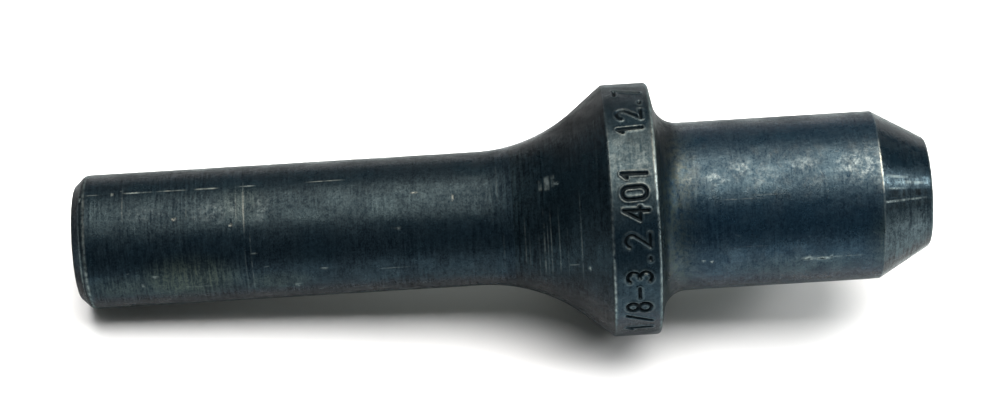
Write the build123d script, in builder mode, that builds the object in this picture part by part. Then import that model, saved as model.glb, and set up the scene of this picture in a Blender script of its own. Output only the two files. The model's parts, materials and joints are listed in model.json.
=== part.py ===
from build123d import *
import os
from math import atan2, cos, degrees, radians, sin, tan

# A rivet set for a hand-held pneumatic rivet hammer: one bar of tool steel, turned all over,
# with a universal-head cup in its nose. Millimetres. The origin is the centre of the struck
# end face, +X runs along the axis to the cup, and +Z is up.

INCH = 25.4

# shank, the end that sits in the hammer's barrel
shank_d = 0.3985 * INCH         # slides in the standard light hammer's 0.401 in bore
shank_chamfer = 0.85            # 45 degree lead-in at the struck end

# flare and retaining flange
flare_start_x = 30.3            # where the straight shank ends
flare_cone = 39                 # degrees from the axis that the flare's arc turns to
flange_d = 0.75 * INCH
flange_rear_x = 40.05           # the flare's cone meets the rim's rear edge
flange_front_x = 43.5
flange_front_edge = 0.35        # broken front edge
flange_face_draft = 12          # degrees that the front face leans away from square

# head
head_d = 0.5 * INCH
head_end_x = 60.25              # where the nose cone starts
neck_fillet = 1.8               # between the flange face and the head
total_length = 64.2
nose_half_angle = 30
nose_edge = 0.4                 # rounding at the rim of the nose

# cup for a 1/8 in universal-head rivet, whose head is about 6.35 across and 1.37 high
cup_mouth_d = 6.45
cup_depth = 1.15
cup_floor_d = 2.6

# size marks stamped round the flange, all plain numbers: rivet 1/8 in and 3.2 mm,
# shank 401 thousandths of an inch, head 12.7 mm
marks = [(-66, "1/8-3.2"), (-1, "401"), (39.5, "12.7")]   # first character's angle, word
marks_centre = -32              # degrees from straight up, towards -Y
mark_pitch = 8.8                # degrees between characters
mark_h = 2.2
mark_w = 1.05
mark_stroke = 0.3
mark_depth = 0.2

shank_r = shank_d / 2
flange_r = flange_d / 2
head_r = head_d / 2
nose_r = head_r - (total_length - head_end_x) * tan(radians(nose_half_angle))
rim_mid_x = (flange_rear_x + flange_front_x) / 2

# The flare is an arc, tangent to the shank and to the cone that runs on to the rim's rear edge.
flare_turn = radians(flare_cone)
flare_dx = flange_rear_x - flare_start_x
flare_dr = flange_r - shank_r
flare_r = (flare_dx * tan(flare_turn) - flare_dr) / (1 / cos(flare_turn) - 1)
flare_end = (
    flare_start_x + flare_r * sin(flare_turn),
    shank_r + flare_r * (1 - cos(flare_turn)),
)

# Where the leaning front face meets the head if the neck had no fillet.
neck_x = flange_front_x + (flange_r - head_r) * tan(radians(flange_face_draft))

# The cup's side is one arc, tangent to its flat floor, out to the mouth.
cup_floor_x = total_length - cup_depth
cup_dr = (cup_mouth_d - cup_floor_d) / 2
cup_r = (cup_dr**2 + cup_depth**2) / (2 * cup_depth)


def arc_middle(centre, start, end):
    """Point half way along the short arc between two points about a centre."""
    half = (Vector(*start) + Vector(*end)) / 2 - Vector(*centre)
    reach = (Vector(*start) - Vector(*centre)).length
    return Vector(*centre) + half.normalized() * reach


def straight(start, end):
    """Straight stroke with round ends."""
    run = Vector(*end) - Vector(*start)
    with Locations((Vector(*start) + Vector(*end)) / 2):
        SlotCenterToCenter(run.length, mark_stroke, rotation=degrees(atan2(run.Y, run.X)))


def bow(centre, radius, start_angle, turn):
    """Curved stroke with round ends."""
    SlotArc(CenterArc(centre, radius, start_angle, turn, mode=Mode.PRIVATE), mark_stroke)


def numeral(character):
    """Strokes of one stamped character, in a cell of mark_w by mark_h about its middle."""
    w = mark_w / 2
    h = mark_h / 2
    lobe = h / 2
    if character == "1":
        straight((0, -h), (0, h))
    elif character == "/":
        straight((-w, -h), (w, h))
    elif character == "-":
        straight((-w, 0), (w, 0))
    elif character == ".":
        straight((-0.1, -h), (0.1, -h))
    elif character == "0":
        straight((-w, w - h), (-w, h - w))
        straight((w, w - h), (w, h - w))
        bow((0, h - w), w, 0, 180)
        bow((0, w - h), w, 180, 180)
    elif character == "3":
        bow((0, lobe), lobe, -90, 230)
        bow((0, -lobe), lobe, -140, 230)
    elif character == "2":
        bow((0, lobe), lobe, -40, 200)
        straight((lobe * cos(radians(40)), lobe - lobe * sin(radians(40))), (-w, -h))
        straight((-w, -h), (w, -h))
    elif character == "4":
        straight((w / 2, -h), (w / 2, h))
        straight((w / 2, h), (-w, -h / 3))
        straight((-w, -h / 3), (w, -h / 3))
    elif character == "7":
        straight((-w, h), (w, h))
        straight((w, h), (-w / 3, -h))
    elif character == "8":
        with Locations((0, lobe), (0, -lobe)):
            Circle(lobe + mark_stroke / 2)
        with Locations((0, lobe), (0, -lobe)):
            Circle(lobe - mark_stroke / 2, mode=Mode.SUBTRACT)


with BuildPart() as rivet_set:
    with BuildSketch(Plane.XY):
        with BuildLine():
            Line((0, 0), (0, shank_r - shank_chamfer))
            Line((0, shank_r - shank_chamfer), (shank_chamfer, shank_r))
            Line((shank_chamfer, shank_r), (flare_start_x, shank_r))
            ThreePointArc(
                (flare_start_x, shank_r),
                arc_middle(
                    (flare_start_x, shank_r + flare_r),
                    (flare_start_x, shank_r),
                    flare_end,
                ),
                flare_end,
            )
            Polyline(
                flare_end,
                (flange_rear_x, flange_r),
                (flange_front_x, flange_r),
                (neck_x, head_r),
                (head_end_x, head_r),
                (total_length, nose_r),
                (total_length, cup_mouth_d / 2),
            )
            ThreePointArc(
                (total_length, cup_mouth_d / 2),
                arc_middle(
                    (cup_floor_x + cup_r, cup_floor_d / 2),
                    (total_length, cup_mouth_d / 2),
                    (cup_floor_x, cup_floor_d / 2),
                ),
                (cup_floor_x, cup_floor_d / 2),
            )
            Polyline((cup_floor_x, cup_floor_d / 2), (cup_floor_x, 0), (0, 0))
        make_face()
    revolve(axis=Axis.X)

    circles = rivet_set.edges().filter_by(GeomType.CIRCLE)
    neck = circles.filter_by(lambda e: abs(e.radius - head_r) < 0.01).sort_by(Axis.X)[0]
    rim_front = circles.filter_by(lambda e: abs(e.radius - flange_r) < 0.01).sort_by(Axis.X)[-1]
    nose_rim = circles.filter_by(lambda e: abs(e.radius - nose_r) < 0.01).sort_by(Axis.X)[-1]
    fillet(neck, neck_fillet)
    fillet(rim_front, flange_front_edge)
    fillet(nose_rim, nose_edge)

    for first_angle, word in marks:
        for place, character in enumerate(word):
            angle = radians(marks_centre + first_angle + place * mark_pitch)
            outward = Vector(0, sin(angle), cos(angle))
            along = Vector(0, cos(angle), -sin(angle))
            spot = Vector(rim_mid_x, 0, 0) + outward * flange_r
            with BuildSketch(Plane(spot, x_dir=along, z_dir=outward)):
                numeral(character)
            extrude(amount=mark_depth, both=True, mode=Mode.SUBTRACT)

rivet_set.part.label = "rivet_set"
os.makedirs("parts", exist_ok=True)
export_step(rivet_set.part, "parts/rivet_set.step")
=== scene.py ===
import json
import math
import random

import bpy
import numpy as np
from mathutils import Matrix, Vector, kdtree


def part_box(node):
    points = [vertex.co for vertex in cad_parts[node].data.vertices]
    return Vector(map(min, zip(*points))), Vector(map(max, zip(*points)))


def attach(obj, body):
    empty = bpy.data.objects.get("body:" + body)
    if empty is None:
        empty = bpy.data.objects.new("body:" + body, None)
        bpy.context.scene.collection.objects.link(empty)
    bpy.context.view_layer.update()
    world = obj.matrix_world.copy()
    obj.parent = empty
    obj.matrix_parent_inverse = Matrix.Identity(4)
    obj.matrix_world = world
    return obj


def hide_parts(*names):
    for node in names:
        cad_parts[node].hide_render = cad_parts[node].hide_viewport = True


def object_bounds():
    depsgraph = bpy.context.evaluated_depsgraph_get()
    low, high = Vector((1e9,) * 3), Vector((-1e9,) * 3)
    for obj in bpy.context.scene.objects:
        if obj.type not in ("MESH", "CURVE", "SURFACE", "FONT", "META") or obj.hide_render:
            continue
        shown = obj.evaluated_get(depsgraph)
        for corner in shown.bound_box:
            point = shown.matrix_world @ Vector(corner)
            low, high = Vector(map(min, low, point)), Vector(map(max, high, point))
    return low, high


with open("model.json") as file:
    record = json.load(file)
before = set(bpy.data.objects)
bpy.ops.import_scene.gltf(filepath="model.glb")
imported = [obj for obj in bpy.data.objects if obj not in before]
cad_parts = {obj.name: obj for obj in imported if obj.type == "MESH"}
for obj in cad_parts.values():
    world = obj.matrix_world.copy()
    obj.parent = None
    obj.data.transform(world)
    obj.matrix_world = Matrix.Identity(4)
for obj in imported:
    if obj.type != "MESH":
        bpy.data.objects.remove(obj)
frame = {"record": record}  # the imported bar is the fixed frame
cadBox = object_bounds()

mm = 0.001
dice = random.Random(401)

mounts = {mount["name"]: mount for mount in frame["record"]["mounts"]}
lowCorner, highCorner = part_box("rivet_set")

bar = {  # the turned bar, in millimetres and degrees
    "length": highCorner.x / mm,
    "rimRadius": highCorner.z / mm,
    "shankRadius": mounts["shank"]["dims"]["r_mm"],
    "chamfer": mounts["shank"]["pos_m"][0] / mm,
    "flareStart": mounts["shank"]["pos_m"][0] / mm + mounts["shank"]["dims"]["length_mm"],
    "flareCone": 39,
    "rimRear": 40.05,
    "rimFront": 43.5,
    "faceDraft": 12,
    "neckFillet": 1.8,
    "headRadius": 6.35,
    "headEnd": 60.25,
    "noseAngle": 30,
    "cupMouth": 3.225,
    "cupFloor": 1.3,
    "cupDepth": 1.15,
    "endEdge": 0.32,  # how far each corner is rounded off
    "chamferEdge": 0.7,
    "rimRearEdge": 0.25,
    "rimFrontEdge": 0.35,
    "noseEdge": 0.4,
    "crispEdge": 0.09,
    "arcStep": 11,  # degrees from one ring to the next round a corner
    "flareRings": 28,
    "cupRings": 12,
    "segments": 256,
    "supportRing": 0.08,  # a ring this close to each corner keeps the shading crisp
}


def cornerArc(before, corner, after, radius):  # the small arc that breaks a sharp corner
    inward = (before - corner).normalized()
    outward = (after - corner).normalized()
    half = inward.angle(outward) / 2
    reach = radius / math.tan(half)
    centre = corner + (inward + outward).normalized() * radius / math.sin(half)
    first = corner + inward * reach - centre
    last = corner + outward * reach - centre
    turn = first.angle(last)
    steps = max(3, round(math.degrees(turn) / bar["arcStep"]))
    points = []
    for step in range(steps + 1):
        angle = turn * step / steps
        blend = first * math.sin(turn - angle) + last * math.sin(angle)
        points.append(centre + blend / math.sin(turn))
    return points


def straightRun(start, end, spacing):  # the rings between two corners, both ends left out
    run = end - start
    count = max(1, round(run.length / spacing))
    shares = {step / count for step in range(1, count)}
    if run.length > 5 * bar["supportRing"]:
        shares |= {bar["supportRing"] / run.length, 1 - bar["supportRing"] / run.length}
    return [start + run * share for share in sorted(shares)]


def arcAbout(centre, radius, startAngle, endAngle, steps):
    turn = (endAngle - startAngle) / steps
    angles = [startAngle + turn * step for step in range(steps + 1)]
    return [Vector((centre[0] + radius * math.cos(a), centre[1] + radius * math.sin(a))) for a in angles]


def barCorners():  # (point, edge rounding, ring spacing on the way to it)
    noseSlope = math.tan(math.radians(bar["noseAngle"]))
    faceSlope = math.tan(math.radians(bar["faceDraft"]))
    noseRadius = bar["headRadius"] - (bar["length"] - bar["headEnd"]) * noseSlope
    neckX = bar["rimFront"] + (bar["rimRadius"] - bar["headRadius"]) * faceSlope
    flareTurn = math.radians(bar["flareCone"])
    flareRun = bar["rimRear"] - bar["flareStart"]
    flareRise = bar["rimRadius"] - bar["shankRadius"]
    flareRadius = (flareRun * math.tan(flareTurn) - flareRise) / (1 / math.cos(flareTurn) - 1)
    flareCentre = (bar["flareStart"], bar["shankRadius"] + flareRadius)
    cupFloorX = bar["length"] - bar["cupDepth"]
    cupRise = bar["cupMouth"] - bar["cupFloor"]
    cupRadius = (cupRise**2 + bar["cupDepth"]**2) / (2 * bar["cupDepth"])
    cupCentre = (cupFloorX + cupRadius, bar["cupFloor"])
    cupStart = math.pi - math.asin(cupRise / cupRadius)
    corners = [
        ((0, 0), 0, 1),
        ((0, bar["shankRadius"] - bar["chamfer"]), bar["endEdge"], 0.7),
        ((bar["chamfer"], bar["shankRadius"]), bar["chamferEdge"], 0.2),
    ]
    flare = arcAbout(flareCentre, flareRadius, -math.pi / 2, flareTurn - math.pi / 2, bar["flareRings"])
    corners += [(flare[0], 0, 0.5)]
    corners += [(point, 0, 1) for point in flare[1:]]
    corners += [
        ((bar["rimRear"], bar["rimRadius"]), bar["rimRearEdge"], 0.3),
        ((bar["rimFront"], bar["rimRadius"]), bar["rimFrontEdge"], 0.21),
        ((neckX, bar["headRadius"]), bar["neckFillet"], 0.25),
        ((bar["headEnd"], bar["headRadius"]), bar["crispEdge"], 0.4),
        ((bar["length"], noseRadius), bar["noseEdge"], 0.32),
        ((bar["length"], bar["cupMouth"]), bar["crispEdge"], 0.2),
    ]
    cup = arcAbout(cupCentre, cupRadius, cupStart, math.pi, bar["cupRings"])
    corners += [(point, 0, 1) for point in cup[1:]]
    corners += [((cupFloorX, 0), 0, 0.5)]
    return [(Vector(point), rounding, spacing) for point, rounding, spacing in corners]


def barOutline():
    corners = barCorners()
    outline = [corners[0][0]]
    for place in range(1, len(corners)):
        point, rounding, spacing = corners[place]
        arc = [point]
        if rounding:
            arc = cornerArc(corners[place - 1][0], point, corners[place + 1][0], rounding)
        outline += straightRun(outline[-1], arc[0], spacing) + arc
    return outline


def turnBar():  # the outline is drawn from one point and spun round the axis
    bpy.ops.object.select_all(action="DESELECT")
    bpy.ops.mesh.primitive_plane_add(size=mm, location=(0, 0, 0))
    piece = bpy.context.object
    piece.name = "rivetSet"
    bpy.ops.object.mode_set(mode="EDIT")
    bpy.context.tool_settings.mesh_select_mode = (True, False, False)
    bpy.ops.mesh.merge(type="CENTER")
    outline = [Vector((x * mm, 0, r * mm)) for x, r in barOutline()]
    for before, after in zip(outline, outline[1:]):
        bpy.ops.mesh.extrude_vertices_move(TRANSFORM_OT_translate={"value": after - before})
    bpy.ops.mesh.select_all(action="SELECT")
    bpy.ops.mesh.spin(steps=bar["segments"], angle=2 * math.pi, center=(0, 0, 0), axis=(1, 0, 0))
    bpy.ops.mesh.select_all(action="SELECT")
    bpy.ops.mesh.remove_doubles(threshold=1e-6)
    bpy.ops.mesh.normals_make_consistent(inside=False)
    bpy.ops.object.mode_set(mode="OBJECT")
    bpy.ops.object.shade_smooth()
    print("turned the bar:", len(outline), "rings,", len(piece.data.polygons), "faces")
    return piece


stamp = {  # the size marks round the flange, all plain numbers, in millimetres and degrees
    "words": [(-66, "1/8-3.2"), (-1, "401"), (39.5, "12.7")],
    "centre": -32,  # from straight up, towards -Y
    "pitch": 8.8,
    "height": 1.8,
    "width": 0.9,
    "halfStroke": 0.14,
    "depth": 0.15,
    "lip": 0.04,
    "lipWidth": 0.08,
    "wander": 0.07,
    "tilt": 3.5,
    "force": (0.75, 1.15),
    "spacing": 0.04,  # between the points along a stroke
    "reach": 0.48,  # how far from a stroke the mesh is made finer
    "cuts": 3,
}


def strokesOf(character):  # centre lines of one character, about the middle of its cell
    w = stamp["width"] / 2
    h = stamp["height"] / 2
    lobe = h / 2
    slope = math.radians(40)
    ends = (lobe * math.cos(slope), lobe - lobe * math.sin(slope))
    quarter = math.pi / 2
    roundEnds = arcAbout((0, h - w), w, 0, math.pi, 10) + arcAbout((0, w - h), w, math.pi, 2 * math.pi, 10)
    strokes = {
        "1": [[(-0.3, h - 0.35), (0, h), (0, -h)]],
        "/": [[(-w, -h), (w, h)]],
        "-": [[(-w, 0), (w, 0)]],
        ".": [[(-0.1, -h), (0.1, -h)]],
        "0": [roundEnds + [(w, h - w)]],
        "2": [arcAbout((0, lobe), lobe, math.radians(160), -slope, 10) + [(-w, -h), (w, -h)]],
        "3": [
            arcAbout((0, lobe), lobe, math.radians(140), -quarter, 10),
            arcAbout((0, -lobe), lobe, quarter, -math.radians(140), 10),
        ],
        "4": [[(w / 2, -h), (w / 2, h), (-w, -h / 3), (w, -h / 3)]],
        "7": [[(-w, h), (w, h), (-w / 3, -h)]],
        "8": [
            arcAbout((0, lobe), lobe * 0.9, 0, 2 * math.pi, 14),
            arcAbout((0, -lobe), lobe, 0, 2 * math.pi, 14),
        ],
    }
    return strokes[character]


def stampPoints():  # points close together along every stroke, with how hard each character was struck
    points = []
    middle = (bar["rimRear"] + bar["rimFront"]) / 2
    for firstAngle, word in stamp["words"]:
        for place, character in enumerate(word):
            angle = math.radians(stamp["centre"] + firstAngle + place * stamp["pitch"])
            across = angle * bar["rimRadius"]
            across += dice.uniform(-1, 1) * stamp["wander"]
            along = dice.uniform(-1, 1) * stamp["wander"]
            tilt = Matrix.Rotation(math.radians(dice.uniform(-1, 1) * stamp["tilt"]), 2)
            force = dice.uniform(*stamp["force"])
            for stroke in strokesOf(character):
                bends = [tilt @ Vector(point) for point in stroke]
                for start, end in zip(bends, bends[1:]):
                    count = max(1, math.ceil((end - start).length / stamp["spacing"]))
                    for step in range(count + 1):
                        spot = start.lerp(end, step / count)
                        points.append((across + spot.x, middle - along - spot.y, force))
    return points


def flatOf(position):  # a point on the rim, rolled out flat, in millimetres
    angle = math.atan2(position.y, position.z)
    if angle > math.radians(120 + stamp["centre"]) + math.pi / 2:
        angle -= 2 * math.pi
    return Vector((angle * bar["rimRadius"], position.x / mm, 0))


def stampRim(piece):
    points = stampPoints()
    tree = kdtree.KDTree(len(points))
    for index, (across, along, force) in enumerate(points):
        tree.insert(Vector((across, along, 0)), index)
    tree.balance()
    mesh = piece.data
    onRim = bar["rimRadius"] * mm * 0.999

    def nearStroke(position, reach):
        if math.hypot(position.y, position.z) < onRim:
            return None
        found, index, distance = tree.find(flatOf(position))
        return (distance, points[index][2]) if distance < reach else None

    bpy.ops.object.mode_set(mode="EDIT")
    bpy.context.tool_settings.mesh_select_mode = (False, False, True)
    bpy.ops.mesh.select_all(action="DESELECT")
    bpy.ops.object.mode_set(mode="OBJECT")
    for face in mesh.polygons:
        face.select = nearStroke(face.center, stamp["reach"]) is not None
    bpy.ops.object.mode_set(mode="EDIT")
    bpy.ops.mesh.subdivide(number_cuts=stamp["cuts"])
    bpy.ops.object.mode_set(mode="OBJECT")

    lips = mesh.attributes.new("lip", "FLOAT", "POINT")
    grooves = mesh.attributes.new("groove", "FLOAT", "POINT")
    for vertex in mesh.vertices:
        near = nearStroke(vertex.co, stamp["reach"] * 1.5)
        radius = math.hypot(vertex.co.y, vertex.co.z)
        if radius < onRim or near is None:
            continue
        distance, force = near
        floor = max(0, 1 - (distance / stamp["halfStroke"]) ** 2) ** 0.7
        beyond = (distance - stamp["halfStroke"] - stamp["lipWidth"]) / stamp["lipWidth"]
        lip = math.exp(-(beyond**2))
        lift = (stamp["lip"] * lip - stamp["depth"] * floor) * force
        stretch = (bar["rimRadius"] + lift) * mm / radius
        vertex.co.y *= stretch
        vertex.co.z *= stretch
        lips.data[vertex.index].value = lip * force
        grooves.data[vertex.index].value = floor
    print("stamped the rim:", len(mesh.polygons), "faces")


# Knocks: place along the axis, angle from straight up, half length, half width, depth and how bare.
dents = {  # millimetres and degrees
    "list": [
        {"x": 6.1, "angle": -66, "long": 0.17, "wide": 0.10, "deep": 0.03, "bare": 0.32},
        {"x": 13.6, "angle": -49, "long": 0.20, "wide": 0.06, "deep": 0.02, "bare": 0.28},
        {"x": 12.0, "angle": -24, "long": 0.10, "wide": 0.10, "deep": 0.03, "bare": 0.3},
        {"x": 7.8, "angle": -16, "long": 0.14, "wide": 0.10, "deep": 0.03, "bare": 0.26},
        {"x": 16.6, "angle": -85, "long": 0.18, "wide": 0.18, "deep": 0.03, "bare": 0.3},
        {"x": 18.7, "angle": -67, "long": 0.22, "wide": 0.07, "deep": 0.02, "bare": 0.3},
        {"x": 24.4, "angle": -35, "long": 0.12, "wide": 0.12, "deep": 0.02, "bare": 0.2},
        {"x": 25.7, "angle": -5, "long": 0.18, "wide": 0.06, "deep": 0.02, "bare": 0.3},
        {"x": 28.5, "angle": -12, "long": 0.06, "wide": 0.20, "deep": 0.02, "bare": 0.3},
        {"x": 5.1, "angle": -75, "long": 0.08, "wide": 0.16, "deep": 0.03, "bare": 0.34},
        {"x": 3.2, "angle": 11.5, "long": 0.07, "wide": 0.12, "deep": 0.03, "bare": 0.6},
        {"x": 3.9, "angle": 15, "long": 0.06, "wide": 0.06, "deep": 0.02, "bare": 0.5},
        {"x": 0.75, "angle": 9, "long": 0.08, "wide": 0.16, "deep": 0.04, "bare": 0.5},
        {"x": 36.2, "angle": -11, "long": 0.18, "wide": 0.12, "deep": 0.04, "bare": 0.35},
        {"x": 38.3, "angle": -62, "long": 0.08, "wide": 0.18, "deep": 0.03, "bare": 0.3},
        {"x": 46.8, "angle": -72, "long": 0.12, "wide": 0.10, "deep": 0.03, "bare": 0.4},
        {"x": 47.4, "angle": -73, "long": 0.09, "wide": 0.10, "deep": 0.03, "bare": 0.45},
        {"x": 54.6, "angle": -75, "long": 0.46, "wide": 0.17, "deep": 0.05, "bare": 0.42},
        {"x": 55.6, "angle": -75.5, "long": 0.58, "wide": 0.13, "deep": 0.05, "bare": 0.46},
        {"x": 56.3, "angle": -74.5, "long": 0.12, "wide": 0.16, "deep": 0.04, "bare": 0.2},
        {"x": 20.5, "angle": 96, "long": 0.30, "wide": 0.10, "deep": 0.03, "bare": 0.4},
        {"x": 9.4, "angle": 151, "long": 0.20, "wide": 0.14, "deep": 0.03, "bare": 0.4},
        {"x": 51.3, "angle": 118, "long": 0.50, "wide": 0.12, "deep": 0.04, "bare": 0.4},
        {"x": 57.8, "angle": 171, "long": 0.24, "wide": 0.18, "deep": 0.03, "bare": 0.4},
    ],
    "rim": 0.25,  # share of the depth that is thrown up round a knock
    "reach": 0.25,  # how far beyond a knock the mesh is made finer
    "cuts": 4,
}


def knockedBy(dent, spots):  # how far along and how far round each spot is from the middle of a knock
    angle = np.arctan2(spots[:, 1], spots[:, 2]) - math.radians(dent["angle"])
    around = (angle + math.pi) % (2 * math.pi) - math.pi
    return spots[:, 0] - dent["x"], around * np.hypot(spots[:, 1], spots[:, 2])


def spotsOf(items, name):
    spots = np.empty(len(items) * 3)
    items.foreach_get(name, spots)
    return spots.reshape(-1, 3) / mm


def knockBar(piece):
    mesh = piece.data
    middles = spotsOf(mesh.polygons, "center")
    chosen = np.zeros(len(middles), bool)
    for dent in dents["list"]:
        along, around = knockedBy(dent, middles)
        along /= dent["long"] + dents["reach"]
        around /= dent["wide"] + dents["reach"]
        chosen |= np.hypot(along, around) < 1
    bpy.ops.object.mode_set(mode="EDIT")
    bpy.ops.mesh.select_all(action="DESELECT")
    bpy.ops.object.mode_set(mode="OBJECT")
    mesh.polygons.foreach_set("select", chosen)
    bpy.ops.object.mode_set(mode="EDIT")
    bpy.ops.mesh.subdivide(number_cuts=dents["cuts"])
    bpy.ops.object.mode_set(mode="OBJECT")
    spots = spotsOf(mesh.vertices, "co")
    sink = np.zeros(len(spots))
    knock = np.zeros(len(spots))
    for dent in dents["list"]:
        along, around = knockedBy(dent, spots)
        away = np.hypot(along / dent["long"], around / dent["wide"])
        ragged = 1 + 0.35 * np.sin(3 * np.arctan2(around, along) + dent["angle"])
        bowl = np.exp(-2.2 * (away * ragged) ** 2)
        lip = dents["rim"] * np.exp(-18 * (away - 1.05) ** 2)
        sink += dent["deep"] * (bowl - lip) * (away < 2)
        knock = np.maximum(knock, dent["bare"] * np.minimum(1, 1.3 * bowl + lip) * (away < 2))
    out = np.maximum(np.hypot(spots[:, 1], spots[:, 2]), 0.01)
    spots[:, 1:] *= (1 - sink / out)[:, None]
    mesh.vertices.foreach_set("co", (spots * mm).ravel())
    mesh.attributes.new("knock", "FLOAT", "POINT").data.foreach_set("value", knock)
    mesh.update()
    print("knocked the bar", len(dents["list"]), "times:", len(mesh.polygons), "faces")


def nodeIn(tree, kind, inputs=None, **settings):
    made = tree.nodes.new(kind)
    for name, value in settings.items():
        setattr(made, name, value)
    for name, value in (inputs or {}).items():
        if isinstance(value, bpy.types.NodeSocket):
            tree.links.new(value, made.inputs[name])
        else:
            made.inputs[name].default_value = value
    return made


def maths(tree, operation, first, second=0.0, third=0.0):
    inputs = {0: first, 1: second, 2: third}
    return nodeIn(tree, "ShaderNodeMath", inputs, operation=operation).outputs[0]


def times(tree, first, *others):
    for other in others:
        first = maths(tree, "MULTIPLY", first, other)
    return first


def plusShare(tree, total, value, share):  # total + value * share
    return maths(tree, "MULTIPLY_ADD", value, share, total)


def centred(tree, value):
    return maths(tree, "SUBTRACT", value, 0.5)


def apart(tree, first, second):
    return maths(tree, "ABSOLUTE", maths(tree, "SUBTRACT", first, second))


def attribute(tree, name):
    return nodeIn(tree, "ShaderNodeAttribute", attribute_name=name).outputs["Fac"]


def ranged(tree, value, low, high, start=0.0, end=1.0):  # a soft step as value goes from low to high
    inputs = {"Value": value, "From Min": low, "From Max": high, "To Min": start, "To Max": end}
    return nodeIn(tree, "ShaderNodeMapRange", inputs, interpolation_type="SMOOTHSTEP").outputs["Result"]


def grain(tree, coordinates, scale, detail=4.0, roughness=0.6):
    inputs = {"Vector": coordinates, "Scale": scale, "Detail": detail, "Roughness": roughness}
    return nodeIn(tree, "ShaderNodeTexNoise", inputs).outputs["Fac"]


def onPiece(tree, stretch=(1, 1, 1), shift=(0, 0, 0)):  # object coordinates, stretched
    place = nodeIn(tree, "ShaderNodeTexCoord").outputs["Object"]
    inputs = {"Vector": place, "Scale": stretch, "Location": shift}
    return nodeIn(tree, "ShaderNodeMapping", inputs).outputs["Vector"]


def newGroup(name, inputs, outputs):  # a shader group with number sockets; gives its tree and its inputs
    tree = bpy.data.node_groups.new(name, "ShaderNodeTree")
    for socket, value in inputs.items():
        made = tree.interface.new_socket(name=socket, in_out="INPUT", socket_type="NodeSocketFloat")
        made.default_value = value
    for socket in outputs:
        tree.interface.new_socket(name=socket, in_out="OUTPUT", socket_type="NodeSocketFloat")
    return tree, tree.nodes.new("NodeGroupInput").outputs


def closeGroup(tree, results):
    nodeIn(tree, "NodeGroupOutput", results)


def useGroup(tree, name, inputs):
    return nodeIn(tree, "ShaderNodeGroup", inputs, node_tree=bpy.data.node_groups[name]).outputs


def rolledOut(tree):  # the round surface laid flat: along the bar, and round it at a middling radius
    place = nodeIn(tree, "ShaderNodeTexCoord").outputs["Object"]
    parts = nodeIn(tree, "ShaderNodeSeparateXYZ", {"Vector": place}).outputs
    angle = maths(tree, "ARCTAN2", parts["Y"], parts["Z"])
    return parts["X"], angle


def turningMarksGroup():  # fine rings left by the lathe tool, strong in some bands
    tree, given = newGroup("turningMarks", {"Fineness": 5200, "Bands": 260}, ["Height", "Tone"])
    fine = grain(tree, onPiece(tree, (1, 0.03, 0.03)), given["Fineness"], 4, 0.75)
    short = grain(tree, onPiece(tree, (1, 0.16, 0.16)), given["Fineness"], 3, 0.7)
    lines = maths(tree, "ADD", centred(tree, fine), centred(tree, short))
    band = grain(tree, onPiece(tree, (1, 0.5, 0.5)), given["Bands"], 4, 0.6)
    kept = ranged(tree, band, 0.40, 0.64, 0.35, 1)  # the rest is polished away
    closeGroup(tree, {"Height": fine, "Tone": times(tree, lines, kept)})


def mottleGroup():  # blotches in the oxide, a finer mottle inside them, and a grain finer still
    inputs = {"Size": 450, "Fine": 2600, "Grain": 7000}
    tree, given = newGroup("mottle", inputs, ["Blotch", "Mottle", "Grain"])
    blotch = grain(tree, onPiece(tree, (0.8, 1, 1)), given["Size"], 5, 0.65)
    fine = grain(tree, onPiece(tree), given["Fine"], 6, 0.75)
    finest = grain(tree, onPiece(tree, (1.4, 1, 1)), given["Grain"], 3, 0.8)
    results = {
        "Blotch": ranged(tree, blotch, 0.36, 0.66),
        "Mottle": ranged(tree, fine, 0.34, 0.7),
        "Grain": centred(tree, finest),
    }
    closeGroup(tree, results)


def flecksGroup():  # ragged patches polished by rubbing
    tree, given = newGroup("flecks", {"Scale": 900, "From": 0.58, "To": 0.68}, ["Mask"])
    patch = grain(tree, onPiece(tree, (1, 0.8, 0.8), (0.011, 0.007, 0)), given["Scale"], 7, 0.72)
    closeGroup(tree, {"Mask": ranged(tree, patch, given["From"], given["To"])})


def scratchesGroup():  # short straight hairlines at a mix of angles, one in each chosen cell
    inputs = {"Scale": 420, "Share": 0.2, "HalfLength": 0.0006, "Swing": 1.2}
    tree, given = newGroup("scratches", inputs, ["Mask"])
    alongBar, angle = rolledOut(tree)
    around = times(tree, angle, 0.006)  # the middling radius, in metres
    flat = nodeIn(tree, "ShaderNodeCombineXYZ", {"X": alongBar, "Y": around}).outputs[0]
    inputs = {"Vector": flat, "Scale": given["Scale"], "Randomness": 1.0}
    cells = nodeIn(tree, "ShaderNodeTexVoronoi", inputs, voronoi_dimensions="2D", feature="F1").outputs
    picks = nodeIn(tree, "ShaderNodeSeparateColor", {"Color": cells["Color"]}).outputs
    inputs = {0: flat, 1: cells["Position"]}
    away = nodeIn(tree, "ShaderNodeVectorMath", inputs, operation="SUBTRACT").outputs[0]
    inputs = {"Vector": away, "Angle": times(tree, centred(tree, picks["Red"]), given["Swing"])}
    turned = nodeIn(tree, "ShaderNodeVectorRotate", inputs, rotation_type="Z_AXIS").outputs[0]
    sides = nodeIn(tree, "ShaderNodeSeparateXYZ", {"Vector": turned}).outputs
    thin = ranged(tree, maths(tree, "ABSOLUTE", sides["Y"]), 0.00002, 0.00005, 1, 0)
    reach = times(tree, given["HalfLength"], maths(tree, "ADD", picks["Blue"], 0.2))
    share = maths(tree, "DIVIDE", maths(tree, "ABSOLUTE", sides["X"]), reach)
    chosen = maths(tree, "LESS_THAN", picks["Green"], given["Share"])
    closeGroup(tree, {"Mask": times(tree, thin, ranged(tree, share, 0.5, 1, 1, 0), chosen)})


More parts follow.
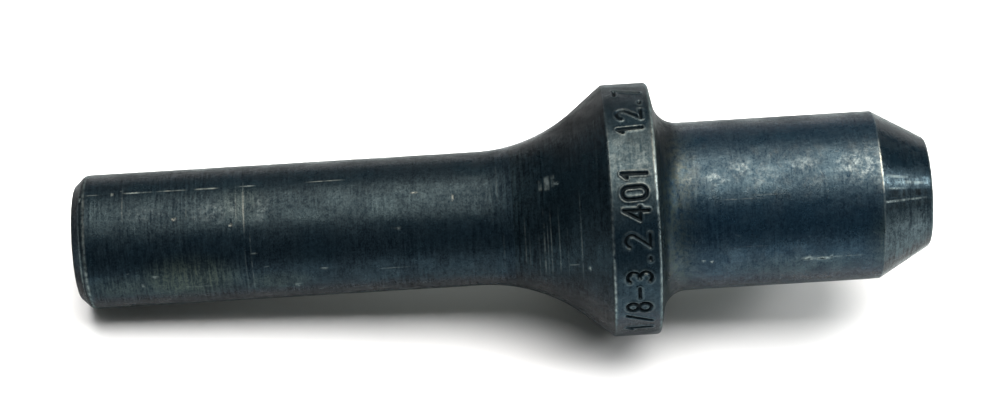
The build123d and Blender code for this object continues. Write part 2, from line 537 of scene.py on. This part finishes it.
def drawnScratchGroup():  # one scratch along the bar, at an angle round it, fading out at both ends
    inputs = {"Angle": 0, "HalfWidth": 0.01, "From": 0, "To": 0.01}
    tree, given = newGroup("drawnScratch", inputs, ["Mask"])
    alongBar, angle = rolledOut(tree)
    drift = grain(tree, onPiece(tree, (1, 0.01, 0.01)), 160, 3, 0.6)
    wander = times(tree, centred(tree, drift), 0.03)
    away = apart(tree, maths(tree, "ADD", angle, wander), given["Angle"])
    thin = ranged(tree, maths(tree, "DIVIDE", away, given["HalfWidth"]), 0.4, 1, 1, 0)
    middle = times(tree, maths(tree, "ADD", given["From"], given["To"]), 0.5)
    half = maths(tree, "SUBTRACT", given["To"], middle)
    off = maths(tree, "DIVIDE", apart(tree, alongBar, middle), half)
    gaps = grain(tree, onPiece(tree, (1, 0.1, 0.1), (0.02, 0, 0)), 1600, 4, 0.7)
    broken = ranged(tree, gaps, 0.36, 0.6, 0.15, 1)
    closeGroup(tree, {"Mask": times(tree, thin, broken, ranged(tree, off, 0.3, 1, 1, 0))})


def ringLineGroup():  # one pale line round the bar, from one angle to another, fading in and out
    inputs = {"At": 0, "HalfWidth": 0.00005, "Around": 0, "Spread": 1}
    tree, given = newGroup("ringLine", inputs, ["Mask"])
    alongBar, angle = rolledOut(tree)
    away = maths(tree, "DIVIDE", apart(tree, alongBar, given["At"]), given["HalfWidth"])
    line = ranged(tree, away, 0.5, 1.3, 1, 0)
    off = maths(tree, "DIVIDE", apart(tree, angle, given["Around"]), given["Spread"])
    fading = ranged(tree, grain(tree, onPiece(tree, (1.5, 1, 1)), 700, 5, 0.7), 0.36, 0.62)
    closeGroup(tree, {"Mask": times(tree, line, fading, ranged(tree, off, 0.5, 1, 1, 0))})


def rubbedAndGlintEdgeGroup():  # edges, stamped lips and nicks where the oxide has rubbed off, with painted highlights on some edges
    tree, given = newGroup("rubbedAndGlintEdge", {"Amount": 1.0}, ["Mask"])
    broken = ranged(tree, grain(tree, onPiece(tree), 2200, 6, 0.75), 0.36, 0.62, 0.1, 1.25)
    rubbed = times(tree, attribute(tree, "wornAndGlint"), broken, given["Amount"])
    closeGroup(tree, {"Mask": maths(tree, "MINIMUM", rubbed, 1)})


def makeGroups():
    turningMarksGroup()
    mottleGroup()
    flecksGroup()
    scratchesGroup()
    drawnScratchGroup()
    ringLineGroup()
    rubbedAndGlintEdgeGroup()
    print("made the shader groups")


plainSteel = {  # what every finish starts from
    "oxide": (0.0026, 0.0062, 0.0100, 1),
    "thinOxide": (0.0118, 0.0232, 0.0310, 1),
    "bare": (0.33, 0.40, 0.385, 1),
    "grooveAndShade": (0.0016, 0.0026, 0.0036, 1),
    # the dark colour of the stamped grooves and of the painted shade
    "dust": (0.022, 0.030, 0.025, 1),
    "patch": (0.029, 0.040, 0.033, 1),
    "metallic": 0.66,
    "specular": 0.33,
    "specularTint": (0.27, 0.335, 0.325, 1),
    "smooth": 0.26,
    "rough": 0.40,
    "fineness": 5200,
    "bands": 260,
    "marksTone": 2.0,  # Tone is how far it thins the oxide, Shine how far it changes the gloss
    "marksShine": 2.4,
    "marksHeight": 0.0000022,
    "leastThin": 0.15,
    "blotchSize": 450,
    "blotchTone": 0.3,
    "mottleSize": 2600,
    "mottleTone": 0.35,
    "mottleHeight": 0.000004,
    "mottleShine": (0.68, 1.32),
    "grainSize": 6500,
    "grainTone": 2.2,
    "grainShine": 2.6,
    "fleckScale": 900,
    "fleckFrom": 0.62,
    "fleckSoftness": 0.12,
    "fleckSmooth": 0.05,
    "fleckShine": 0.8,
    # how far the shiny patches, partly painted highlights, raise the gloss and lighten the colour
    "polishAndGlintShine": 3.6,
    "polishAndGlintTone": 0.13,
    "polishAndGlintColour": (0.27, 0.40, 0.47, 1),
    "scratchScale": 300,
    "scratchShare": 0.10,
    "scratchLength": 0.5,
    "scratchSwing": 1.0,
    "scratchTone": 0.10,
    "edgeAmount": 1.0,
    "bareMetallic": 0.2,  # how much more metallic the bare steel is
    "bareDepth": 0.000004,
    "grooveAndShadeRough": 0.25,
    "grooveAndShadeDull": 0.85,
    "lines": [],
    "rings": [],
    "darkLines": [],
    "dustFrom": None,
}
finishes = {
    "struckEnd": {
        "oxide": (0.0024, 0.0052, 0.0078, 1),
        "thinOxide": (0.0110, 0.0190, 0.0240, 1),
        "specular": 0.12,
        "specularTint": (0.14, 0.19, 0.21, 1),
        "scratchShare": 0.6,
        "scratchTone": 0.3,
    },
    "shaft": {
        "lines": [
            {"angle": 12.1, "halfWidth": 0.7, "from": 0.9, "to": 2.3, "bare": 0.18},
            {"angle": 12.1, "halfWidth": 1.0, "from": 3.8, "to": 6.4, "bare": 0.6},
            {"angle": 12.1, "halfWidth": 0.8, "from": 6.2, "to": 9.0, "bare": 0.26},
            {"angle": 12.1, "halfWidth": 1.0, "from": 9.2, "to": 11.3, "bare": 0.5},
            {"angle": 12.1, "halfWidth": 0.9, "from": 12.3, "to": 14.0, "bare": 0.42},
            {"angle": 12.6, "halfWidth": 0.6, "from": 17.4, "to": 20.8, "bare": 0.3},
            {"angle": -79, "halfWidth": 0.7, "from": 7.6, "to": 10.6, "bare": 0.10},
            {"angle": -71, "halfWidth": 0.6, "from": 22.0, "to": 25.6, "bare": 0.10},
        ],
        "rings": [
            {"x": 3.95, "around": 5, "spread": 22, "wide": 0.05, "bare": 0.05},
            {"x": 12.4, "around": -4, "spread": 26, "wide": 0.04, "bare": 0.04},
            {"x": 12.95, "around": -8, "spread": 30, "wide": 0.05, "bare": 0.09},
            {"x": 13.35, "around": -60, "spread": 34, "wide": 0.05, "bare": 0.08},
            {"x": 12.9, "around": -66, "spread": 28, "wide": 0.05, "bare": 0.06},
            {"x": 8.7, "around": -4, "spread": 18, "wide": 0.04, "bare": 0.04},
            {"x": 9.3, "around": -8, "spread": 16, "wide": 0.04, "bare": 0.04},
        ],
    },
    "flareFoot": {
        # partway to the flare's painted shade: a weaker specular and specular tint than the shaft
        "specular": 0.235,
        "specularTint": (0.26, 0.32, 0.32, 1),
        "rings": [
            {"x": 31.8, "around": 6, "spread": 26, "wide": 0.05, "bare": 0.04},
            {"x": 32.1, "around": -62, "spread": 20, "wide": 0.05, "bare": 0.05},
        ],
    },
    "flare": {
        # painted shade: darker oxide and a weaker specular tint than the shaft, so the flare stays dark
        # where it would reflect the bright floor behind
        "oxide": (0.0017, 0.0042, 0.0066, 1),
        "thinOxide": (0.0092, 0.0185, 0.0240, 1),
        "specularTint": (0.18, 0.23, 0.23, 1),
        "marksTone": 2.6,
        "rings": [
            {"x": 33.7, "around": -52, "spread": 22, "wide": 0.06, "bare": 0.08},
            {"x": 34.0, "around": -60, "spread": 20, "wide": 0.05, "bare": 0.04},
            {"x": 34.7, "around": -62, "spread": 26, "wide": 0.05, "bare": 0.04},
            {"x": 35.1, "around": -58, "spread": 34, "wide": 0.07, "bare": 0.12},
            {"x": 35.35, "around": -58, "spread": 24, "wide": 0.04, "bare": 0.09},
            {"x": 35.6, "around": -54, "spread": 30, "wide": 0.05, "bare": 0.11},
            {"x": 36.2, "around": -50, "spread": 26, "wide": 0.05, "bare": 0.08},
            {"x": 36.8, "around": -56, "spread": 22, "wide": 0.04, "bare": 0.03},
            {"x": 37.8, "around": -44, "spread": 30, "wide": 0.05, "bare": 0.07},
            # painted glint: these three short rings round -10 degrees are drawn in the bare steel colour
            # to stand in for a highlight
            {"x": 35.0, "around": -10, "spread": 5, "wide": 0.14, "bare": 0.20},
            {"x": 35.5, "around": -9.5, "spread": 6, "wide": 0.20, "bare": 0.40},
            {"x": 35.95, "around": -9, "spread": 5, "wide": 0.14, "bare": 0.24},
            {"x": 39.2, "around": 8, "spread": 24, "wide": 0.05, "bare": 0.04},
        ],
    },
    "rim": {
        "oxide": (0.0032, 0.0090, 0.0140, 1),
        "thinOxide": (0.0080, 0.0205, 0.0310, 1),
        "metallic": 0.7,
        "specular": 1.22,
        "specularTint": (0.26, 0.34, 0.35, 1),
        "marksTone": 0.9,
        "marksShine": 2.6,
        "fleckFrom": 0.52,
        "fleckShine": 0.5,
    },
    "head": {
        "oxide": (0.0032, 0.0105, 0.0200, 1),
        "thinOxide": (0.0118, 0.0300, 0.0470, 1),
        "specular": 0.80,
        "marksTone": 1.4,
        "marksShine": 2.0,
        "mottleTone": 0.5,
        "mottleHeight": 0.000006,
        "grainTone": 2.2,
        "grainShine": 3.0,
        "fleckScale": 700,
        "fleckFrom": 0.50,
        "fleckShine": 1.0,
        "scratchScale": 500,
        "scratchShare": 0.3,
        "scratchLength": 0.35,
        "scratchSwing": 2.6,
        "scratchTone": 0.05,
        "dustFrom": (44.3, 47.2),
        "lines": [
            {"angle": -28.5, "halfWidth": 0.5, "from": 48.0, "to": 52.0, "bare": 0.10},
            {"angle": -26.5, "halfWidth": 0.5, "from": 50.0, "to": 53.6, "bare": 0.09},
            {"angle": -74.8, "halfWidth": 0.8, "from": 55.6, "to": 59.0, "bare": 0.13},
            {"angle": -62, "halfWidth": 0.5, "from": 49.0, "to": 52.0, "bare": 0.05},
        ],
    },
    "nose": {
        "oxide": (0.0026, 0.0078, 0.0130, 1),
        "thinOxide": (0.0068, 0.0180, 0.0270, 1),
        "patch": (0.046, 0.066, 0.074, 1),
        "specular": 1.32,
        "smooth": 0.2,
        "rough": 0.34,
        "marksTone": 2.4,
        "marksShine": 3.0,
        "grainTone": 2.6,
        "grainShine": 3.0,
        "mottleTone": 0.5,
        # painted highlights: these bright streaks along the nose stand in for reflections, drawn in the
        # bare steel colour
        "lines": [
            {"angle": -36.5, "halfWidth": 1.1, "from": 60.2, "to": 63.9, "bare": 0.55},
            {"angle": -36.5, "halfWidth": 1.0, "from": 60.2, "to": 61.4, "bare": 0.9},
            {"angle": -27.4, "halfWidth": 0.9, "from": 60.4, "to": 62.2, "bare": 0.2},
            {"angle": -18.5, "halfWidth": 1.4, "from": 60.3, "to": 62.4, "bare": 0.22},
            {"angle": -22.5, "halfWidth": 1.6, "from": 61.2, "to": 64.0, "bare": 0.2},
        ],
        # painted shade: two broad dark bands along the nose, standing in for the dark reflections beside
        # its highlights
        "darkLines": [
            {"angle": -31.3, "halfWidth": 4.2, "from": 59.6, "to": 64.8, "bare": 0.8},
            {"angle": -40.6, "halfWidth": 3.4, "from": 59.8, "to": 64.6, "bare": 0.7},
        ],
    },
    "cup": {
        "oxide": (0.03, 0.038, 0.040, 1),
        "thinOxide": (0.10, 0.11, 0.105, 1),
        "specular": 0.5,
        "smooth": 0.16,
        "rough": 0.3,
    },
}


def mixed(tree, factor, first, second):
    made = tree.nodes.new("ShaderNodeMix")
    made.data_type = "RGBA"
    for index, value in ((0, factor), (6, first), (7, second)):
        if isinstance(value, bpy.types.NodeSocket):
            tree.links.new(value, made.inputs[index])
        else:
            made.inputs[index].default_value = value
    return made.outputs[2]


def scratchesFrom(tree, lines):
    bright = 0.0
    for line in lines:
        scratch = useGroup(tree, "drawnScratch", {
            "Angle": math.radians(line["angle"]),
            "HalfWidth": math.radians(line["halfWidth"]),
            "From": line["from"] * mm,
            "To": line["to"] * mm,
        })
        bright = maths(tree, "MAXIMUM", bright, times(tree, scratch["Mask"], line["bare"]))
    return bright


def ringsFrom(tree, rings):
    bright = 0.0
    for line in rings:
        ring = useGroup(tree, "ringLine", {
            "At": line["x"] * mm,
            "HalfWidth": line["wide"] * mm,
            "Around": math.radians(line["around"]),
            "Spread": math.radians(line["spread"]),
        })
        bright = maths(tree, "MAXIMUM", bright, times(tree, ring["Mask"], line["bare"]))
    return bright


def bareMarks(tree, look):  # every place where the steel shows through the oxide, and the painted highlights drawn in the bare steel colour
    edges = useGroup(tree, "rubbedAndGlintEdge", {"Amount": look["edgeAmount"]})["Mask"]
    hairlines = useGroup(tree, "scratches", {
        "Scale": look["scratchScale"],
        "Share": look["scratchShare"],
        "HalfLength": look["scratchLength"] * mm,
        "Swing": look["scratchSwing"],
    })["Mask"]
    bright = maths(tree, "MAXIMUM", edges, times(tree, hairlines, look["scratchTone"]))
    if look["lines"]:
        bright = maths(tree, "MAXIMUM", bright, scratchesFrom(tree, look["lines"]))
    if look["rings"]:
        bright = maths(tree, "MAXIMUM", bright, ringsFrom(tree, look["rings"]))
    return bright


def steelMaterial(name):
    look = {**plainSteel, **finishes[name]}
    material = bpy.data.materials.new(name + "Steel")
    material.use_nodes = True
    tree = material.node_tree
    marks = useGroup(tree, "turningMarks", {"Fineness": look["fineness"], "Bands": look["bands"]})
    mottle = useGroup(tree, "mottle", {
        "Size": look["blotchSize"],
        "Fine": look["mottleSize"],
        "Grain": look["grainSize"],
    })
    flecks = useGroup(tree, "flecks", {
        "Scale": look["fleckScale"],
        "From": look["fleckFrom"],
        "To": look["fleckFrom"] + look["fleckSoftness"],
    })["Mask"]
    bright = bareMarks(tree, look)
    gleam = times(tree, attribute(tree, "polishAndGlint"), mottle["Mottle"], mottle["Mottle"])
    grooveAndShade = attribute(tree, "grooveAndShade")
    # the nose's dark lines are painted shade
    if look["darkLines"]:
        grooveAndShade = maths(tree, "MAXIMUM", grooveAndShade, scratchesFrom(tree, look["darkLines"]))

    thin = plusShare(tree, look["leastThin"], mottle["Mottle"], look["mottleTone"])
    thin = plusShare(tree, thin, mottle["Blotch"], look["blotchTone"])
    thin = plusShare(tree, thin, marks["Tone"], look["marksTone"])
    thin = plusShare(tree, thin, mottle["Grain"], look["grainTone"])
    clamped = nodeIn(tree, "ShaderNodeClamp", {"Value": thin}).outputs[0]
    colour = mixed(tree, clamped, look["oxide"], look["thinOxide"])
    uneven = ranged(tree, maths(tree, "ADD", thin, marks["Tone"]), 0.2, 0.8, 0.2, 1)
    colour = mixed(tree, times(tree, attribute(tree, "patch"), uneven), colour, look["patch"])
    # lighter where rubbed shiny; partly a painted highlight
    colour = mixed(tree, times(tree, gleam, look["polishAndGlintTone"]), colour, look["polishAndGlintColour"])
    colour = mixed(tree, bright, colour, look["bare"])
    if look["dustFrom"]:
        start, end = look["dustFrom"]
        alongBar = rolledOut(tree)[0]
        dusty = times(tree, ranged(tree, alongBar, end * mm, start * mm), mottle["Mottle"])
        colour = mixed(tree, dusty, colour, look["dust"])
    # darker in the stamped grooves, plus painted shade from the shade patches and the nose's dark lines
    colour = mixed(tree, grooveAndShade, colour, look["grooveAndShade"])

    roughness = ranged(tree, mottle["Blotch"], 0, 1, look["rough"], look["smooth"])
    roughness = plusShare(tree, roughness, flecks, -look["fleckSmooth"])
    roughness = plusShare(tree, roughness, grooveAndShade, look["grooveAndShadeRough"])

    shine = ranged(tree, mottle["Mottle"], 0, 1, *look["mottleShine"])
    shine = plusShare(tree, shine, flecks, look["fleckShine"])
    shine = plusShare(tree, shine, marks["Tone"], look["marksShine"])
    shine = plusShare(tree, shine, mottle["Grain"], look["grainShine"])
    shine = plusShare(tree, shine, gleam, look["polishAndGlintShine"])
    shine = times(tree, maths(tree, "MAXIMUM", shine, 0), look["specular"])
    shine = times(tree, shine, plusShare(tree, 1, grooveAndShade, -look["grooveAndShadeDull"]))

    height = times(tree, marks["Height"], look["marksHeight"])
    height = plusShare(tree, height, mottle["Mottle"], look["mottleHeight"])
    height = plusShare(tree, height, bright, -look["bareDepth"])
    bump = nodeIn(tree, "ShaderNodeBump", {"Height": height, "Distance": 1.0, "Strength": 1.0})

    shader = tree.nodes["Principled BSDF"]
    shader.inputs["Specular Tint"].default_value = look["specularTint"]
    metallic = plusShare(tree, look["metallic"], bright, look["bareMetallic"])
    results = {
        "Base Color": colour,
        "Roughness": roughness,
        "Specular IOR Level": shine,
        "Metallic": metallic,
        "Normal": bump.outputs["Normal"],
    }
    for socket, value in results.items():
        tree.links.new(value, shader.inputs[socket])
    return material


# Rubbed edges: (along, out), width of the rub, strength everywhere, and how much more about one angle; the
# extra about one angle is partly heavier wear and partly a painted highlight where the edge catches the
# light.
wornAndGlintEdges = [  # millimetres and degrees
    {"at": (0.05, 4.15), "reach": 0.07, "base": 0.22, "more": 0.12, "toward": -70, "spread": 40},
    {"at": (0.62, 4.88), "reach": 0.07, "base": 0.12, "more": 0.22, "toward": -78, "spread": 40},
    {"at": (0.98, 5.04), "reach": 0.09, "base": 0.20, "more": 0.16, "toward": -70, "spread": 50},
    {"at": (40.07, 9.45), "reach": 0.07, "base": 0.20, "more": 0.60, "toward": -72, "spread": 24},
    {"at": (43.44, 9.42), "reach": 0.10, "base": 0.34, "more": 1.2, "toward": -10, "spread": 20},
    {"at": (60.25, 6.34), "reach": 0.06, "base": 0.10, "more": 0.70, "toward": -13, "spread": 12},
    {"at": (64.12, 4.0), "reach": 0.12, "base": 0.3, "more": 0.2, "toward": -60, "spread": 40},
    {"at": (64.18, 3.25), "reach": 0.10, "base": 0.6, "more": 0, "toward": 0, "spread": 40},
]
# Areas rubbed thin: place along, angle, half length along, half span round and strength.
wornPatches = [  # millimetres and degrees
    {"x": 8.6, "angle": -70, "long": 3.4, "span": 20, "strength": 0.9},
    {"x": 3.6, "angle": -76, "long": 2.4, "span": 12, "strength": 0.4},
    {"x": 15.0, "angle": -78, "long": 2.4, "span": 10, "strength": 0.4},
    {"x": 12.8, "angle": -4, "long": 1.6, "span": 16, "strength": 0.15},
    {"x": 54.0, "angle": -84, "long": 5.0, "span": 12, "strength": 0.3},
    {"x": 20.0, "angle": 130, "long": 6.0, "span": 24, "strength": 0.5},
    {"x": 62.2, "angle": -64, "long": 2.6, "span": 30, "strength": 0.85},
]
polishAndGlintPatches = [  # areas rubbed shiny, partly painted highlights placed where the light falls, in the same terms
    {"x": 58.8, "angle": -10, "long": 1.8, "span": 11, "strength": 1.0},
    {"x": 54.5, "angle": -7, "long": 1.0, "span": 5, "strength": 0.6},
    {"x": 49.8, "angle": -7, "long": 0.9, "span": 6, "strength": 0.8},
    {"x": 48.0, "angle": -14, "long": 0.8, "span": 5, "strength": 0.9},
    {"x": 51.6, "angle": -14, "long": 1.2, "span": 6, "strength": 0.4},
    {"x": 45.9, "angle": -14, "long": 0.4, "span": 3, "strength": 0.7},
    {"x": 10.9, "angle": -11, "long": 1.7, "span": 9, "strength": 0.45},
    {"x": 14.3, "angle": -10, "long": 0.5, "span": 12, "strength": 0.5},
    {"x": 5.5, "angle": -10, "long": 1.4, "span": 6, "strength": 0.3},
    {"x": 62.0, "angle": -21.5, "long": 2.2, "span": 5, "strength": 0.9},
    {"x": 41.8, "angle": -13, "long": 1.8, "span": 10, "strength": 0.3},
    {"x": 55.4, "angle": -76, "long": 1.0, "span": 3, "strength": 0.7},
]


paintedShadePatches = [  # painted shade: areas darkened and dulled near the upper and lower outlines of the flare, rim and head, in the same terms
    {"x": 38.4, "angle": 36, "long": 3.0, "span": 26, "strength": 0.5},
    {"x": 44.4, "angle": 30, "long": 1.1, "span": 44, "strength": 0.75},
    {"x": 53.0, "angle": 58, "long": 9.0, "span": 22, "strength": 0.35},
    {"x": 41.8, "angle": -112, "long": 2.4, "span": 16, "strength": 0.5},
    {"x": 41.8, "angle": 52, "long": 2.4, "span": 18, "strength": 0.4},
]


def markWearAndPaintedLight(piece):
    mesh = piece.data
    for name in ("wornAndGlint", "grooveAndShade", "patch", "polishAndGlint"):
        mesh.attributes.new(name, "FLOAT", "POINT")
    spots = spotsOf(mesh.vertices, "co")
    out = np.hypot(spots[:, 1], spots[:, 2])
    angle = np.degrees(np.arctan2(spots[:, 1], spots[:, 2]))
    made = {}
    for name in ("lip", "groove", "knock"):
        made[name] = np.zeros(len(spots))
        mesh.attributes[name].data.foreach_get("value", made[name])
    wornAndGlint = np.maximum(made["knock"], 0.08 * made["lip"])
    for edge in wornAndGlintEdges:
        distance = np.hypot(spots[:, 0] - edge["at"][0], out - edge["at"][1]) / edge["reach"]
        turn = (angle - edge["toward"] + 180) % 360 - 180
        strength = edge["base"] + edge["more"] * np.exp(-((turn / edge["spread"]) ** 2))
        wornAndGlint = np.maximum(wornAndGlint, strength * np.exp(-(distance**2)))
    # the stamped grooves are made darker; the painted shade patches join them below
    values = {"wornAndGlint": wornAndGlint, "grooveAndShade": 0.85 * made["groove"]}
    for name, areas in (("patch", wornPatches), ("polishAndGlint", polishAndGlintPatches), ("grooveAndShade", paintedShadePatches)):
        values.setdefault(name, np.zeros(len(spots)))
        for area in areas:
            turn = (angle - area["angle"] + 180) % 360 - 180
            away = np.hypot((spots[:, 0] - area["x"]) / area["long"], turn / area["span"])
            values[name] = np.maximum(values[name], area["strength"] * np.clip(1.6 - 1.2 * away, 0, 1))
    for name in values:
        mesh.attributes[name].data.foreach_set("value", values[name])
    print("rubbed", len(wornAndGlintEdges), "edges")


def finishBar(piece):
    makeGroups()
    ends = {  # where each finish stops, going along the bar
        "struckEnd": bar["chamfer"] + 0.1,
        "shaft": bar["flareStart"] + 1.2,
        "flareFoot": bar["flareStart"] + 2.6,
        "flare": bar["rimRear"] - 0.03,
        "rim": bar["rimFront"] + 0.01,
        "head": bar["headEnd"] + 0.02,
        "nose": bar["length"] + 1,
        "cup": bar["length"] + 1,
    }
    for name in ends:
        piece.data.materials.append(steelMaterial(name))
    for face in piece.data.polygons:
        along = face.center.x / mm
        out = math.hypot(face.center.y, face.center.z) / mm
        slot = sum(along > end for end in ends.values())
        if along > bar["headEnd"] + 1 and out < bar["cupMouth"] + 0.05:
            slot = len(ends) - 1
        face.material_index = slot
    print("gave the bar its", len(ends), "finishes")


stage = {  # millimetres
    "floorSize": 760,
    "floorTone": 0.82,
    "gap": 0.02,
}


def makeFloor():
    bpy.ops.object.select_all(action="DESELECT")
    bpy.ops.mesh.primitive_plane_add(size=stage["floorSize"] * mm, location=(0, 0, 0))
    floor = bpy.context.object
    floor.name = "floor"
    lean = math.atan2(bar["rimRadius"] - bar["shankRadius"], bar["rimRear"] - bar["chamfer"])
    slope = Matrix.Rotation(lean, 4, "Y")
    touch = Vector((bar["chamfer"], 0, -bar["shankRadius"] - stage["gap"])) * mm
    floor.data.transform(Matrix.Translation(touch) @ slope)
    material = bpy.data.materials.new("paleFloor")
    material.use_nodes = True
    shader = material.node_tree.nodes["Principled BSDF"]
    shader.inputs["Base Color"].default_value = (stage["floorTone"],) * 3 + (1,)
    shader.inputs["Roughness"].default_value = 0.6
    floor.data.materials.append(material)


view = {  # millimetres and degrees
    "lens": 107.0,
    "distance": 225,
    "elevation": 58.9,
    "swing": 0,  # how far the cup end is turned away
    "climb": 3.48,  # the axis rises this much across the frame
    "aimAcross": 31.86,  # from the struck end's centre to the middle of the frame
    "aimUp": 2.60,
}


def makeCamera():
    swing = math.radians(view["swing"])
    climb = math.radians(view["climb"])
    elevation = math.radians(view["elevation"])
    forwardX = math.sin(swing)
    acrossX = math.cos(swing) * math.cos(climb)
    upX = math.cos(swing) * math.sin(climb)
    flat = math.sqrt(1 - forwardX**2)
    forward = Vector((forwardX, flat * math.cos(elevation), -flat * math.sin(elevation)))
    level = (Vector((1, 0, 0)) - forward * forwardX).normalized()  # the axis as the camera sees it
    roll = math.atan2(upX, acrossX)
    across = Matrix.Rotation(roll, 3, forward) @ level
    up = across.cross(forward)
    aim = across * view["aimAcross"] * mm + up * view["aimUp"] * mm
    place = aim - forward * view["distance"] * mm
    bpy.ops.object.camera_add(location=place)
    camera = bpy.context.object
    turn = Matrix((across, up, -forward)).transposed().to_4x4()
    camera.matrix_world = Matrix.Translation(place) @ turn
    camera.data.lens = view["lens"]
    camera.data.sensor_width = 36
    camera.data.clip_start = 0.01
    camera.data.clip_end = 20
    bpy.context.scene.camera = camera


lamps = [  # metres, degrees from straight up towards +Y, watts; aside is along +X
    {
        "name": "softbox",
        "tilt": 12,
        "away": 0.7,
        "aside": 0.19,
        "wide": 0.62,
        "deep": 0.75,
        "power": 12.4,
        "tint": (1.5, 1.08, 0.82),
        "diffuse": False,
    },
    {
        "name": "window",
        "tilt": 10.2,
        "away": 0.7,
        "aside": 0.24,
        "wide": 0.9,
        "deep": 0.60,
        "power": 19,
        "glossy": False,
    },
    {
        "name": "sideLamp",
        "toward": (0.86, -0.03, 0.51),
        "away": 0.8,
        "wide": 0.22,
        "deep": 0.22,
        "power": 2.8,
    },
]
room = {
    "frontTint": (0.2, 0.6, 1.0, 1),
    "backTint": (1.0, 0.95, 0.85, 1),
    "floorTint": (0.95, 1.0, 0.93, 1),
    "front": 0.09,
    "back": 0.37,
    "floorBack": 1.1,
    "backdrop": 1.0,
}


def areaLight(lamp):
    tilt = math.radians(lamp.get("tilt", 0))
    direction = Vector(lamp.get("toward", (0, math.sin(tilt), math.cos(tilt)))).normalized()
    middle = (Vector(cadBox[0]) + Vector(cadBox[1])) / 2 + Vector((lamp.get("aside", 0), 0, 0))
    bpy.ops.object.light_add(type="AREA", location=middle + direction * lamp["away"])
    made = bpy.context.object
    made.name = lamp["name"]
    made.rotation_euler = direction.to_track_quat("Z", "Y").to_euler()
    made.data.shape = "RECTANGLE"
    made.data.size = lamp["wide"]
    made.data.size_y = lamp["deep"]
    made.data.energy = lamp["power"]
    made.data.color = lamp.get("tint", (1, 1, 1))
    made.visible_diffuse = lamp.get("diffuse", True)
    made.visible_glossy = lamp.get("glossy", True)


def backdrop(tree, colour, strength):
    return nodeIn(tree, "ShaderNodeBackground", {"Color": colour, "Strength": strength}).outputs[0]


def eitherOf(tree, factor, first, second):
    return nodeIn(tree, "ShaderNodeMixShader", {0: factor, 1: first, 2: second}).outputs[0]


def makeLights():
    for lamp in lamps:
        areaLight(lamp)
    world = bpy.data.worlds.new("room")
    bpy.context.scene.world = world
    world.use_nodes = True
    tree = world.node_tree
    direction = nodeIn(tree, "ShaderNodeTexCoord").outputs["Generated"]
    parts = nodeIn(tree, "ShaderNodeSeparateXYZ", {"Vector": direction}).outputs
    toBack = ranged(tree, parts["Y"], -0.1, 0.85)
    toStruckEnd = ranged(tree, parts["X"], -0.45, -0.15, 0.03, 1)
    toCup = ranged(tree, parts["X"], 0.35, 0.85, 1, 0.12)
    shade = times(tree, toStruckEnd, toCup, toBack)
    rays = nodeIn(tree, "ShaderNodeLightPath").outputs
    inFront = backdrop(tree, room["frontTint"], room["front"])
    behind = backdrop(tree, room["backTint"], room["back"])
    onSteel = eitherOf(tree, shade, inFront, behind)
    onFloor = backdrop(tree, room["floorTint"], plusShare(tree, room["front"], shade, room["floorBack"]))
    plain = backdrop(tree, (1, 1, 1, 1), room["backdrop"])
    lit = eitherOf(tree, rays["Is Glossy Ray"], onFloor, onSteel)
    both = eitherOf(tree, rays["Is Camera Ray"], lit, plain)
    tree.links.new(both, tree.nodes["World Output"].inputs["Surface"])


rivetSet = turnBar()
stampRim(rivetSet)
knockBar(rivetSet)
markWearAndPaintedLight(rivetSet)
finishBar(rivetSet)
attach(rivetSet, "root")
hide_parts("rivet_set")

makeFloor()
makeCamera()
makeLights()
bpy.context.scene.view_settings.view_transform = "Standard"
print("placed the floor, the camera and", len(lamps), "lamps")
